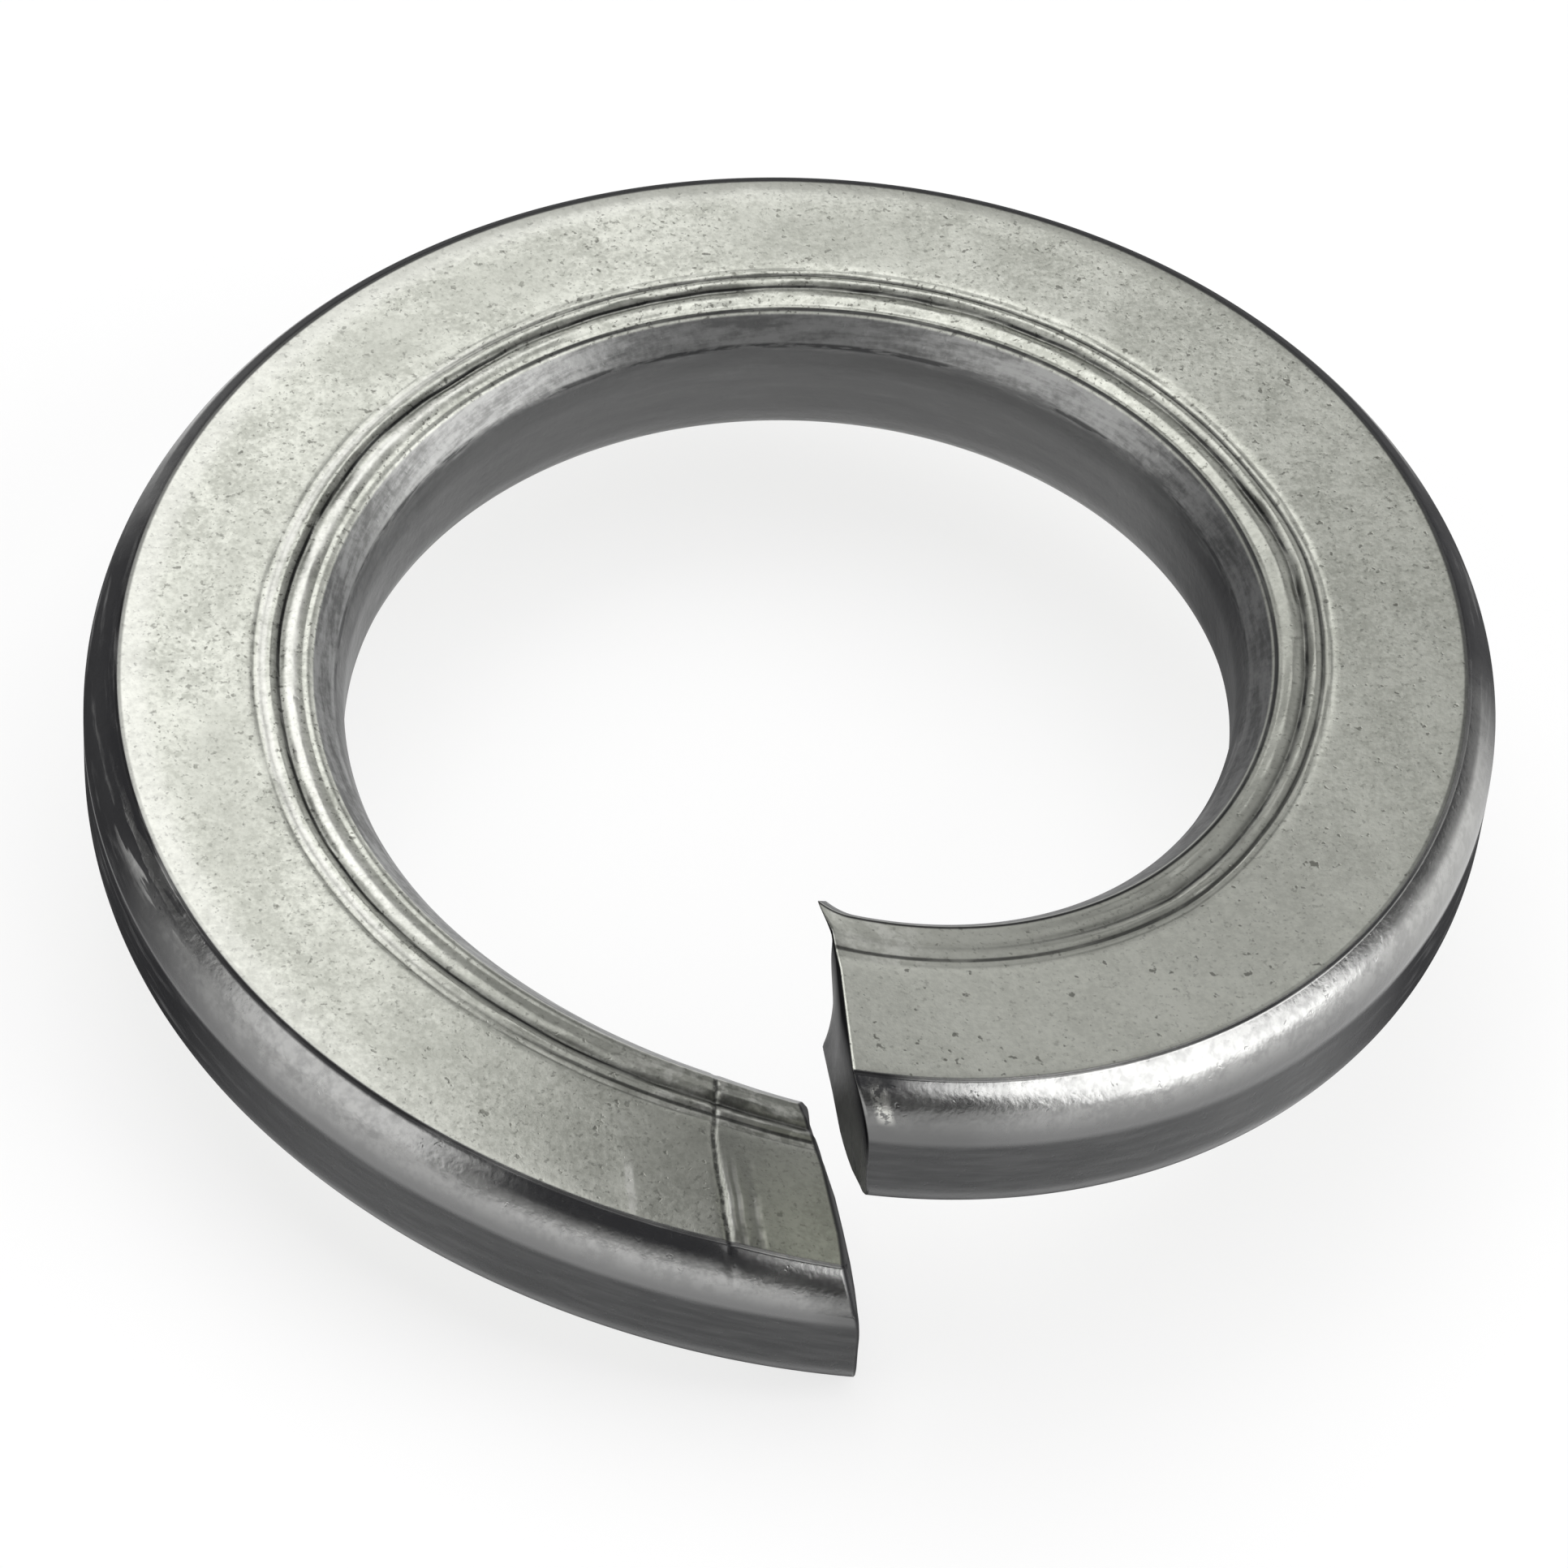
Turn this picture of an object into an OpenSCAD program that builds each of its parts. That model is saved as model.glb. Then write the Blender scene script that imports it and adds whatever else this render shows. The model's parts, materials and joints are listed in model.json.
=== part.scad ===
/* [Wire] */
// Width of the flattened wire, from the bolt hole to the outer wall
wire_w = 6; // [4.5:0.1:8]
// Thickness of the wire between its two bearing faces
wire_t = 4; // [3.2:0.1:6]
// Width of the rounding on each outer corner
outer_round_w = 0.8; // [0.4:0.1:1.2]
// Height of the rounding on each outer corner
outer_round_h = 1.4; // [0.5:0.1:1.5]
// Width of the drawn lip on each face, beside the bolt hole
lip_w = 1.15; // [0.5:0.05:1.5]
// How far the inner edge of each lip lies below its face
lip_drop = 0.15; // [0:0.05:0.3]
// Width of the bevel between each lip and the wall of the bolt hole
bevel_w = 0.8; // [0.3:0.1:1.2]
// Height of the bevel between each lip and the wall of the bolt hole
bevel_h = 1.15; // [0.3:0.05:1.2]

/* [Coil] */
// Diameter of the bolt hole
bore_d = 20.5; // [18:0.1:30]
// Rise of the coil from its lower end to its upper end, before the ends are bent
coil_rise = 3.25; // [2:0.05:6]
// Angle left open between the two cut ends
gap_angle = 0.5; // [0.2:0.1:8]

/* [Bent ends] */
// How far the upper end is bent up
upper_bend = 1.95; // [0:0.05:3]
// Arc over which the upper end is bent
upper_bend_arc = 65; // [20:1:90]
// How far the lower end is bent down
lower_bend = 1.3; // [0:0.05:3]
// Arc over which the lower end is bent
lower_bend_arc = 50; // [20:1:90]
// Arc of the pressed mark on top of the lower end
press_arc = 10; // [6:0.5:15]
// How far the top face is pressed down at the tip of the lower end
press_drop = 0.2; // [0:0.05:0.4]

/* [Cut faces] */
// How far the top edge of the upper cut stands proud of the split
upper_reach = 0.4; // [0:0.05:0.5]
// Lean of the upper cut at the outer wall, its top ahead of its bottom, falling to none at the hole
upper_lean = 6; // [0:0.5:8]
// How far the middle of the lower cut stands proud of the split, at the outer wall
lower_reach = 0.35; // [0:0.05:0.5]
// Lean of the lower cut, its bottom ahead of its top
lower_lean = 8; // [0:0.5:12]
// Skew of the lower cut, its outer side ahead of its inner side
lower_skew = 7; // [0:0.5:8]
// Height of the burr on the inner top corner of the upper end
burr_h = 0.4; // [0:0.05:0.6]
// Arc over which the burr curls up
burr_arc = 4; // [2:0.5:6]

/* [Hidden] */

bore_r = bore_d / 2;
outer_r = bore_r + wire_w;
lip_inner_r = bore_r + bevel_w;
lip_outer_r = lip_inner_r + lip_w;
turn = 360 - gap_angle;
upper_end_angle = -90 + gap_angle / 2;

// Half the height of the flat wall of the bolt hole
bore_land_half = wire_t / 2 - lip_drop - bevel_h;

// The sweep runs this far into the bolt hole, half way to where its bevels would meet
bore_stock = bore_land_half * bevel_w / bevel_h / 2;
corner_steps = 4;
end_steps = 5;
coil_steps = 112;
bore_sides = 180;

// Rise of the wire's centre at an angle from the upper end, with both ends bent
function rise(a) =
    coil_rise * (1 - a / turn)
    + upper_bend * pow(max(0, 1 - a / upper_bend_arc), 2)
    - lower_bend * pow(max(0, 1 - (turn - a) / lower_bend_arc), 2);

// One outer corner, from the wall to the face
function outer_corner() = [
    for (i = [0 : corner_steps])
        let (q = 90 * i / corner_steps)
        [
            outer_r - outer_round_w * (1 - cos(q)),
            wire_t / 2 - outer_round_h * (1 - sin(q))
        ]
];

// Upper half of the wire's section, from the outer wall to the bolt hole
function upper_half() = concat(
    outer_corner(),
    [
        [lip_outer_r, wire_t / 2],
        [lip_inner_r, wire_t / 2 - lip_drop],
        [bore_r - bore_stock, bore_land_half / 2]
    ]
);

// The whole section, which is alike above and below its middle
function section() =
    let (top = upper_half(), n = len(top))
    concat(top, [for (i = [n - 1 : -1 : 0]) [top[i][0], -top[i][1]]]);

// Share of the burr that a point of the section takes, all of it at the inner top edge
function burr_share(p) =
    p[1] > 0 && p[0] < lip_outer_r
        ? min(1, (lip_outer_r - p[0]) / lip_w)
        : 0;

// Angle by which a point of the section stands proud of the upper and the lower end
function upper_ahead(p) =
    let (lean = tan(upper_lean) * (p[0] - bore_r) / wire_w)
    (upper_reach - (wire_t / 2 - p[1]) * lean) / p[0] * 180 / PI;
function lower_ahead(p) =
    (lower_reach - p[1] * tan(lower_lean) - (outer_r - p[0]) * tan(lower_skew)) / p[0] * 180 / PI;

// Lift that brings the lowest point of the lower cut to height zero
base_z = -min([for (p = section()) p[1] + rise(turn + lower_ahead(p))]);

// Where a point of the section lies at an angle from the upper end
function placed(p, a) =
    let (
        pressed = p[1] > 0 ? press_drop * max(0, 1 - (turn - a) / press_arc) : 0,
        behind_cut = a + upper_ahead(p),
        burr = burr_h * burr_share(p) * pow(max(0, 1 - behind_cut / burr_arc), 2),
        f = upper_end_angle + a
    )
    [p[0] * cos(f), p[0] * sin(f), base_z + rise(a) + p[1] - pressed + burr];

// The number of the last section along the coil, counted from zero at the upper cut
last = end_steps + coil_steps + end_steps;

function between(from, to, share) = from + (to - from) * share;

// Angle at which a point of the section crosses section i. Each point starts at its own place
// on the upper cut, joins the others behind the burr, and leaves them at the pressed mark
function crossing(p, i) =
    i < end_steps
        ? between(-upper_ahead(p), burr_arc, i / end_steps)
        : i <= end_steps + coil_steps
            ? between(burr_arc, turn - press_arc, (i - end_steps) / coil_steps)
            : between(turn - press_arc, turn + lower_ahead(p), 1 - (last - i) / end_steps);

module coiled_wire() {
    outline = section();
    n = len(outline);
    middle = [(bore_r + outer_r) / 2, 0];
    points = concat(
        [for (i = [0 : last]) for (p = outline) placed(p, crossing(p, i))],
        [placed(middle, crossing(middle, 0)), placed(middle, crossing(middle, last))]
    );
    upper_middle = n * (last + 1);
    lower_middle = upper_middle + 1;
    sides = [
        for (i = [0 : last - 1])
            for (j = [0 : n - 1])
                let (k = (j + 1) % n, here = i * n, next = here + n)
                for (face = [
                    [here + j, next + k, next + j],
                    [here + j, here + k, next + k]
                ])
                    face
    ];
    upper_cap = [for (j = [0 : n - 1]) [upper_middle, (j + 1) % n, j]];
    lower_cap = [for (j = [0 : n - 1]) [lower_middle, last * n + j, last * n + (j + 1) % n]];
    polyhedron(points, concat(sides, upper_cap, lower_cap), convexity = 6);
}

module washer() {
    height = base_z + rise(0) + wire_t + burr_h;
    color([0.66, 0.67, 0.64])
        difference() {
            coiled_wire();
            translate([0, 0, -1])
                cylinder(h = height + 2, r = bore_r, $fn = bore_sides);
        }
}

washer();
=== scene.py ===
import json
import math

import bpy
import numpy as np
from mathutils import Matrix, Vector


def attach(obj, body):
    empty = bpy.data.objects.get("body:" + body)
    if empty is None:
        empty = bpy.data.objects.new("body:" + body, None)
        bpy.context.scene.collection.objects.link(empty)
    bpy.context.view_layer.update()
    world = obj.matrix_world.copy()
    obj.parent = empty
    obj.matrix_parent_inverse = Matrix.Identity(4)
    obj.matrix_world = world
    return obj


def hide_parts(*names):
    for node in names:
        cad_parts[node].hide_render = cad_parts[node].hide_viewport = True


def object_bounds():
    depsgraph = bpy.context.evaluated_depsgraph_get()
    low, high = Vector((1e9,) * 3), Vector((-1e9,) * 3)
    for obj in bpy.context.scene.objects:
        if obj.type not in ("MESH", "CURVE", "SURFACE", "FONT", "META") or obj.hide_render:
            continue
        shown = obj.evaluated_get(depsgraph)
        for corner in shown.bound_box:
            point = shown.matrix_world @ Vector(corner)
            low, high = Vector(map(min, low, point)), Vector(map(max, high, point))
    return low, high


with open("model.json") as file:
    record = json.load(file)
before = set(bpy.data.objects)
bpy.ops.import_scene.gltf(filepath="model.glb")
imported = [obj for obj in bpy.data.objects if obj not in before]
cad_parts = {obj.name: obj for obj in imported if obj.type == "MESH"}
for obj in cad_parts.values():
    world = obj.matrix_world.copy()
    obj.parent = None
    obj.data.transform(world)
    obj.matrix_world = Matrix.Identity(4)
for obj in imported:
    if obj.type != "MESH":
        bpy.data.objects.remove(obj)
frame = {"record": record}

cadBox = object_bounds()
mm = 0.001

wallInset = 0.006           # how far the visible outer wall stands inside the CAD part's, in mm

# sizes of the coil, in millimetres and degrees; the radii come from the frame
coil = {
    "boreRadius": frame["record"]["mounts"][0]["dims"]["r_mm"],
    "outerRadius": (cadBox[1].x - cadBox[0].x) / 2 / mm - wallInset,
    "thick": 4.0,
    "gap": 0.5,             # angle between the two cuts
    "rise": 3.25,           # fall over the turn before the ends are bent
    "upperBend": 1.95,      # how far the upper end is bent up, and over which angle
    "upperBendArc": 65.0,
    "lowerBend": 1.3,       # how far the lower end is bent down, and over which angle
    "lowerBendArc": 50.0,
    "steps": 424,           # rows along the coil between the burr and the pressed end
}
coil["turn"] = 360 - coil["gap"]
coil["wide"] = coil["outerRadius"] - coil["boreRadius"]
print("frame loaded, hole radius", coil["boreRadius"], "outer", round(coil["outerRadius"], 3))


def riseAt(a):
    # straight fall along the turn, plus a square-law bend up at the start and down at the end
    fall = coil["rise"] * (1 - a / coil["turn"])
    up = coil["upperBend"] * np.maximum(0, 1 - a / coil["upperBendArc"]) ** 2
    down = coil["lowerBend"] * np.maximum(0, 1 - (coil["turn"] - a) / coil["lowerBendArc"]) ** 2
    return fall + up - down


def smooth(low, high, x):
    # 0 below low, 1 above high, an S curve between
    t = np.clip((x - low) / (high - low), 0, 1)
    return t * t * (3 - 2 * t)


def bump(x, centre, wide):
    # a bell of height 1
    return np.exp(-(((x - centre) / wide) ** 2))


def roundedPath(corners, runs):
    # straight runs between corners, each corner a quarter of an ellipse between its two set-backs;
    # a corner is (r, z, set-back before, set-back after, steps round it)
    points = []
    for k, (r, z, before, after, steps) in enumerate(corners):
        here = np.array([r, z])
        start, end = here, here
        if k > 0:
            back = np.array(corners[k - 1][:2]) - here
            start = here + back / np.linalg.norm(back) * before
        if k < len(corners) - 1:
            ahead = np.array(corners[k + 1][:2]) - here
            end = here + ahead / np.linalg.norm(ahead) * after
        if k > 0:
            share = np.linspace(0, 1, runs[k - 1] + 1)[1:-1, None]
            points.append(points[-1][-1] * (1 - share) + start * share)
        q = np.linspace(0, math.pi / 2, steps + 1)[:, None]
        arc = here + (start - here) * (1 - np.sin(q)) + (end - here) * (1 - np.cos(q))
        points.append(arc if steps else here[None, :])
    return np.concatenate(points)


section = {
    "shoulderWide": 0.8,    # from the outer wall in to the crisp edge of the face
    "shoulderLow": 0.62,    # height of the shoulder's foot above the wire's middle
    "shoulderIn": 0.03,     # where the shoulder's corner would be if it weren't rounded
    "shoulderHigh": 1.6,
    "lipWide": 1.15,
    "lipDrop": 0.1,
    "faceInner": 0.3,       # from the lip out to where the flat of the face starts
    "bevelWide": 0.8,
    "bevelFoot": 0.2,       # how far the foot of the bevel stands back from the bolt hole
    "bevelFootHigh": 1.3,
    "wallHalf": 0.7,        # half the height of the truly round wall of the bolt hole
    # steps of the straight runs between corners, above and below the middle
    "runsAbove": [4, 2, 2, 18, 38, 5, 4, 4],
    "runsBelow": [4, 2, 2, 8, 12, 4, 3, 4],
}


def sectionOutline():
    # the wire's section, from the middle of the outer wall over the top to the bore, and back
    # below as its mirror; the three last numbers of a corner say how softly it is rounded
    half = coil["thick"] / 2
    bore, outer = coil["boreRadius"], coil["outerRadius"]
    faceEdge = outer - section["shoulderWide"]
    lipInner = bore + section["bevelWide"]
    lipOuter = lipInner + section["lipWide"]
    lipHigh = half - section["lipDrop"]
    corners = [
        (outer, 0, 0, 0, 0),
        (outer, section["shoulderLow"], 0.12, 0.12, 3),
        (outer - section["shoulderIn"], section["shoulderHigh"], 0.78, 0.85, 12),
        (faceEdge, half, 0.03, 0.03, 3),
        (lipOuter + section["faceInner"], half, 0.05, 0.05, 2),
        (lipInner, lipHigh, 0.05, 0.06, 4),
        (bore + section["bevelFoot"], section["bevelFootHigh"], 0.2, 0.2, 5),
        (bore, section["wallHalf"], 0.15, 0.15, 3),
        (bore, 0, 0, 0, 0),
    ]
    top = roundedPath(corners, section["runsAbove"])
    low = roundedPath(corners, section["runsBelow"])[::-1][1:-1]
    return np.concatenate([top, low * [1, -1]])


print("section has", len(sectionOutline()), "points")

# each cut: how far it stands ahead of its radial plane, along its top, middle and low rows
upperCut = {
    "radius": [10.2, 11.0, 11.7, 12.7, 14.1, 14.9, 15.4, 16.3],
    "top": [0.85, 0.85, 0.5, 0.40, 0.40, 0.40, 0.40, 0.36],
    "middle": [0.2, 0.17, 0.2, 0.22, 0.08, 0.03, 0.0, 0.0],
    "low": [-0.1, 0.1, 0.44, 0.32, 0.24, 0.11, -0.06, -0.12],
}
lowerCut = {
    "radius": [11.0, 11.9, 12.8, 13.7, 14.6, 15.3, 16.3],
    "top": [-0.58, -0.35, -0.16, -0.06, 0.04, 0.06, 0.02],
    "middle": [-0.2, 0.03, 0.2, 0.3, 0.38, 0.42, 0.44],
    "low": [-0.1, 0.15, 0.32, 0.42, 0.5, 0.58, 0.5],
}
# rows of a cut face, as shares of the way from its rounded edge to its middle
cutEdge = {"round": 0.06, "insets": [0.012, 0.03, 0.06, *np.linspace(0.11, 1.0, 18)]}
burr = {"high": 0.285, "arc": 4.0, "steps": 22}
topStarts = (0.8, 1.2)      # heights over which relief of the top face fades in
pressed = {
    "arc": 14.0,            # arc with closer rows
    "steps": 56,
    "start": 2.65,          # where the pressed mark starts, in mm before the lower end
    "drop": 0.2,
    "crease": 0.035,
    "creaseWide": 0.08,
    # fine ridges across the face: place before the lower end, half-width and height
    "ripples": [(2.45, 0.06, 0.02), (2.24, 0.06, 0.018), (1.84, 0.08, 0.015), (4.75, 0.1, 0.012)],
    "ripplesIn": (12.6, 14.2),      # radii over which they fade in and out
    "ripplesOut": (15.2, 15.45),
    "wave": 0.025,          # how far the crease strays from its curve
    "waves": [(2.3, 1.0), (6.3, 0.4)],      # how quickly it strays and how much
    "curve": 0.03,
}


def reach(cut, r, z):
    # rows blended by the square of the height above or below the middle of the section
    up = np.clip(z / (coil["thick"] / 2), -1, 1)
    row = {name: np.interp(r, cut["radius"], cut[name]) for name in ("top", "middle", "low")}
    above = (row["top"] - row["middle"]) * np.maximum(up, 0) ** 2
    below = (row["low"] - row["middle"]) * np.maximum(-up, 0) ** 2
    return row["middle"] + above + below


# drawn grooves and ridges beside the bore
lip = {
    # radius, half-width and height, up is positive
    "lines": [
        (12.34, 0.06, -0.012),
        (12.15, 0.06, -0.028),
        (11.97, 0.1, 0.034),
        (11.73, 0.1, -0.05),
        (11.44, 0.12, 0.03),
        (11.22, 0.05, -0.01),
    ],
    "uneven": 0.4,          # how much their height wanders along the coil
    "knots": 110,
    "below": 0.6,           # their height on the underside, as a share
    "besideCut": (10, 45, 0.15),    # they grow over these angles, from this share
    "fading": 12.15,        # the groove that fades along the coil, how far and over which angles
    "fade": 0.85,
    "fades": (195, 235),
    "sway": 0.045,          # how far the lines stray from true circles
    "swayKnots": 26,
    "swayStarts": (11.1, 11.5),
}


def wander(a, seed, count):
    # a random line along the coil, straight between its knots, about 0 with a spread of about 1
    rng = np.random.default_rng(seed)
    knots = rng.normal(size=count)
    return np.interp(a, np.linspace(-5, coil["turn"] + 5, count), knots)


def coiledRows(r, z, midR):
    # angle, radius and height of every row: the outline of each row along the coil, with the two
    # cut faces before and after it, where the outline shrinks to the middle of the section and
    # its edge is a quarter circle
    turn = coil["turn"]
    upperAngle = -np.degrees(reach(upperCut, r, z) / r)
    lowerAngle = turn + np.degrees(reach(lowerCut, r, z) / r)
    first = np.linspace(0, 1, burr["steps"] + 1)[:-1, None]
    last = np.linspace(0, 1, pressed["steps"] + 1)[1:, None]
    middle = np.linspace(burr["arc"], turn - pressed["arc"], coil["steps"] + 1)[:, None]
    edge = np.degrees(cutEdge["round"] / r)
    a = np.concatenate([
        (upperAngle + edge) * (1 - first) + burr["arc"] * first,
        middle + 0 * r,
        (turn - pressed["arc"]) * (1 - last) + (lowerAngle - edge) * last,
    ])
    inset = np.array(cutEdge["insets"])[:, None]
    capR = r * (1 - inset) + midR * inset
    capZ = z * (1 - inset)
    forward = np.clip(inset / cutEdge["insets"][2], 0, 1)
    setBack = cutEdge["round"] * (1 - np.sqrt(1 - (1 - forward) ** 2))
    upperCap = -np.degrees((reach(upperCut, capR, capZ) - setBack) / capR)
    lowerCap = turn + np.degrees((reach(lowerCut, capR, capZ) - setBack) / capR)
    rr = np.concatenate([capR[::-1], np.broadcast_to(r, a.shape), capR])
    flat = np.concatenate([capZ[::-1], np.broadcast_to(z, a.shape), capZ])
    return np.concatenate([upperCap[::-1], a, lowerCap]), rr, flat


def lipLift(a, drawn):
    # the sum of a bell for each drawn line, each with its own uneven strength along the coil
    lift = np.zeros_like(a)
    for k, (radius, wide, high) in enumerate(lip["lines"]):
        strength = np.clip(1 + lip["uneven"] * wander(a, 20 + k, lip["knots"]), 0, 2)
        fades = lip["fade"] * smooth(*lip["fades"], a) if radius == lip["fading"] else 0
        lift += high * strength * (1 - fades) * bump(drawn, radius, wide)
    start, end, share = lip["besideCut"]
    return lift * (share + (1 - share) * smooth(start, end, a))


def pressedDrop(before, rr):
    # a slope from the crease down to the tip, plus a bell at the crease, less the ripples' bells
    drop = pressed["drop"] * np.clip(1 - before / pressed["start"], 0, 1)
    crease = pressed["crease"] * bump(before, pressed["start"], pressed["creaseWide"])
    ripple = sum(high * bump(before, place, wide) for place, wide, high in pressed["ripples"])
    ripple = ripple * smooth(*pressed["ripplesIn"], rr) * (1 - smooth(*pressed["ripplesOut"], rr))
    return drop + crease - ripple


def burrLift(a, rr, flat):
    # a square-law curl towards the cut, strongest at the inner edge of the lip
    lipOuter = coil["boreRadius"] + section["bevelWide"] + section["lipWide"]
    share = np.clip((lipOuter - rr) / section["lipWide"], 0, 1)
    behind = a + np.degrees(reach(upperCut, rr, flat) / rr)
    return burr["high"] * share * np.maximum(0, 1 - np.maximum(behind, 0) / burr["arc"]) ** 2


def washerSurface():
    # the outline carried along the coil: rows follow the angle, columns follow the outline
    outline = sectionOutline()
    midR = coil["boreRadius"] + coil["wide"] / 2
    a, rr, flat = coiledRows(outline[:, 0], outline[:, 1], midR)
    up, low = smooth(*topStarts, flat), smooth(*topStarts, -flat)
    sway = lip["sway"] * wander(a, 40, lip["swayKnots"])
    drawn = rr - sway * smooth(*lip["swayStarts"], rr)
    lift = lipLift(a, drawn)
    # the way left to the lower end, bent and waved as the pressed mark's crease is
    waves = sum(much * np.sin(rr * fast) for fast, much in pressed["waves"])
    before = np.radians(coil["turn"] - a) * rr + pressed["wave"] * waves
    before = before + pressed["curve"] * (rr - midR) ** 2
    zz = flat + lift * up - lip["below"] * lift * low
    zz = zz - pressedDrop(before, rr) * up + burrLift(a, rr, flat) * up
    # the way from each cut face, nearly zero on the cut itself
    fromUpper = np.radians(a) * rr + reach(upperCut, rr, flat)
    fromLower = np.radians(coil["turn"] - a) * rr + reach(lowerCut, rr, flat)
    # place in space, the lowest corner at height zero
    f = np.radians(a - 90 + coil["gap"] / 2)
    height = riseAt(a) + zz
    base = -height.min()
    points = np.stack([rr * np.cos(f), rr * np.sin(f), height + base], axis=-1)
    return {
        "points": points,
        "turned": a,
        "radius": rr,
        "flat": flat,
        "before": before,
        "drawn": drawn,
        "fromUpper": fromUpper,
        "fromLower": fromLower,
        "base": base,
    }


surface = washerSurface()


def washerMesh():
    # four-sided faces between neighbouring rows and columns, the columns joined round
    rows, columns = surface["turned"].shape
    index = np.arange(rows * columns).reshape(rows, columns)
    here, there = index[:-1], index[1:]
    quads = np.stack([
        here,
        there,
        np.roll(there, -1, axis=1),
        np.roll(here, -1, axis=1),
    ], axis=-1).reshape(-1, 4)
    mesh = bpy.data.meshes.new("washerSteel")
    mesh.from_pydata(surface["points"].reshape(-1, 3) * mm, [], quads.tolist())
    for name in ("turned", "drawn"):
        made = mesh.attributes.new(name, "FLOAT", "POINT")
        made.data.foreach_set("value", surface[name].ravel())
    arc = np.radians(surface["turned"]) * surface["radius"]
    vectors = {
        # the way along the coil, the radius and the height in the section
        "along": (arc, surface["radius"], surface["flat"]),
        # the way left to the pressed end, and the way from the upper and the lower cut
        "ends": (surface["before"], surface["fromUpper"], surface["fromLower"]),
    }
    for name, parts in vectors.items():
        made = mesh.attributes.new(name, "FLOAT_VECTOR", "POINT")
        made.data.foreach_set("vector", np.stack(parts, axis=-1).ravel())
    mesh.polygons.foreach_set("use_smooth", np.ones(len(mesh.polygons), bool))
    mesh.update()
    return mesh


poleMerge = 1e-6            # a cut face ends in one point; nearer than this is one, in metres

washer = bpy.data.objects.new("washer_steel", washerMesh())
bpy.context.scene.collection.objects.link(washer)
weld = washer.modifiers.new("poles", "WELD")
weld.merge_threshold = poleMerge
bpy.context.view_layer.objects.active = washer
washer.select_set(True)
bpy.ops.object.modifier_apply(modifier=weld.name)
washer.select_set(False)
print("washer has", len(washer.data.vertices), "vertices and", len(washer.data.polygons), "faces")


# shader maths: a field is a number or a colour that changes over the surface
class Field:
    def __init__(self, finish, socket):
        self.finish = finish
        self.socket = socket

    def __add__(self, other):
        return self.finish.maths("ADD", self, other)

    __radd__ = __add__

    def __sub__(self, other):
        return self.finish.maths("SUBTRACT", self, other)

    def __rsub__(self, other):
        return self.finish.maths("SUBTRACT", other, self)

    def __mul__(self, other):
        return self.finish.maths("MULTIPLY", self, other)

    __rmul__ = __mul__


class Finish:
    lineCore = 0.3          # the share of a line's half-width that is at full strength

    def __init__(self, name):
        # a material with no nodes yet
        self.material = bpy.data.materials.new(name)
        self.material.use_nodes = True
        self.tree = self.material.node_tree
        self.tree.nodes.clear()

    def node(self, kind, settings=None, sockets=None, out=0):
        # a node with its settings, its sockets filled with values or fields, and one output
        made = self.tree.nodes.new(kind)
        for name, value in (settings or {}).items():
            setattr(made, name, value)
        for name, value in (sockets or {}).items():
            if isinstance(value, Field):
                self.tree.links.new(value.socket, made.inputs[name])
            else:
                made.inputs[name].default_value = value
        return Field(self, made.outputs[out]) if made.outputs else made

    def maths(self, operation, first, second=0.0):
        # one step of arithmetic
        return self.node("ShaderNodeMath", {"operation": operation}, {0: first, 1: second})

    def mixed(self, share, first, second):
        # the first colour where the share is 0, the second where it is 1
        settings = {"data_type": "RGBA", "clamp_factor": True}
        return self.node("ShaderNodeMix", settings, {0: share, 6: first, 7: second}, out=2)

    def eased(self, value, low, high):
        # 0 below low, 1 above high, an S curve between
        settings = {"interpolation_type": "SMOOTHSTEP"}
        sockets = {"Value": value, "From Min": low, "From Max": high}
        return self.node("ShaderNodeMapRange", settings, sockets)

    def fades(self, value, low, high):
        # 1 below low, 0 above high
        return 1 - self.eased(value, low, high)

    def line(self, value, centre, half):
        # 1 where the value is near the centre, easing to 0 at half a width away
        away = self.maths("ABSOLUTE", value - centre)
        return self.fades(away, half * self.lineCore, half)

    def noise(self, place, scale, detail=3.0, rough=0.5, stretch=None):
        # a cloudy texture, 0.5 on average, drawn out where the stretch is small
        if stretch:
            settings = {"operation": "MULTIPLY"}
            place = self.node("ShaderNodeVectorMath", settings, {0: place, 1: stretch})
        sockets = {"Vector": place, "Scale": scale, "Detail": detail, "Roughness": rough}
        return self.node("ShaderNodeTexNoise", {}, sockets)

    def most(self, *values):
        # the greatest of the values
        found = values[0]
        for value in values[1:]:
            found = self.maths("MAXIMUM", found, value)
        return found

    def stretches(self, value, rows):
        # the greatest of several lines, each with its centre, half its width and its strength
        return self.most(*[self.line(value, centre, half) * share for centre, half, share in rows])

    def kept(self, name):
        # a number kept on the mesh
        return self.node("ShaderNodeAttribute", {"attribute_name": name}, {}, out="Fac")

    def keptVector(self, name):
        # a vector kept on the mesh
        return self.node("ShaderNodeAttribute", {"attribute_name": name}, {}, out="Vector")

    def parts(self, vector):
        # the three numbers of a vector
        return [self.node("ShaderNodeSeparateXYZ", {}, {0: vector}, out=part) for part in "XYZ"]


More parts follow.
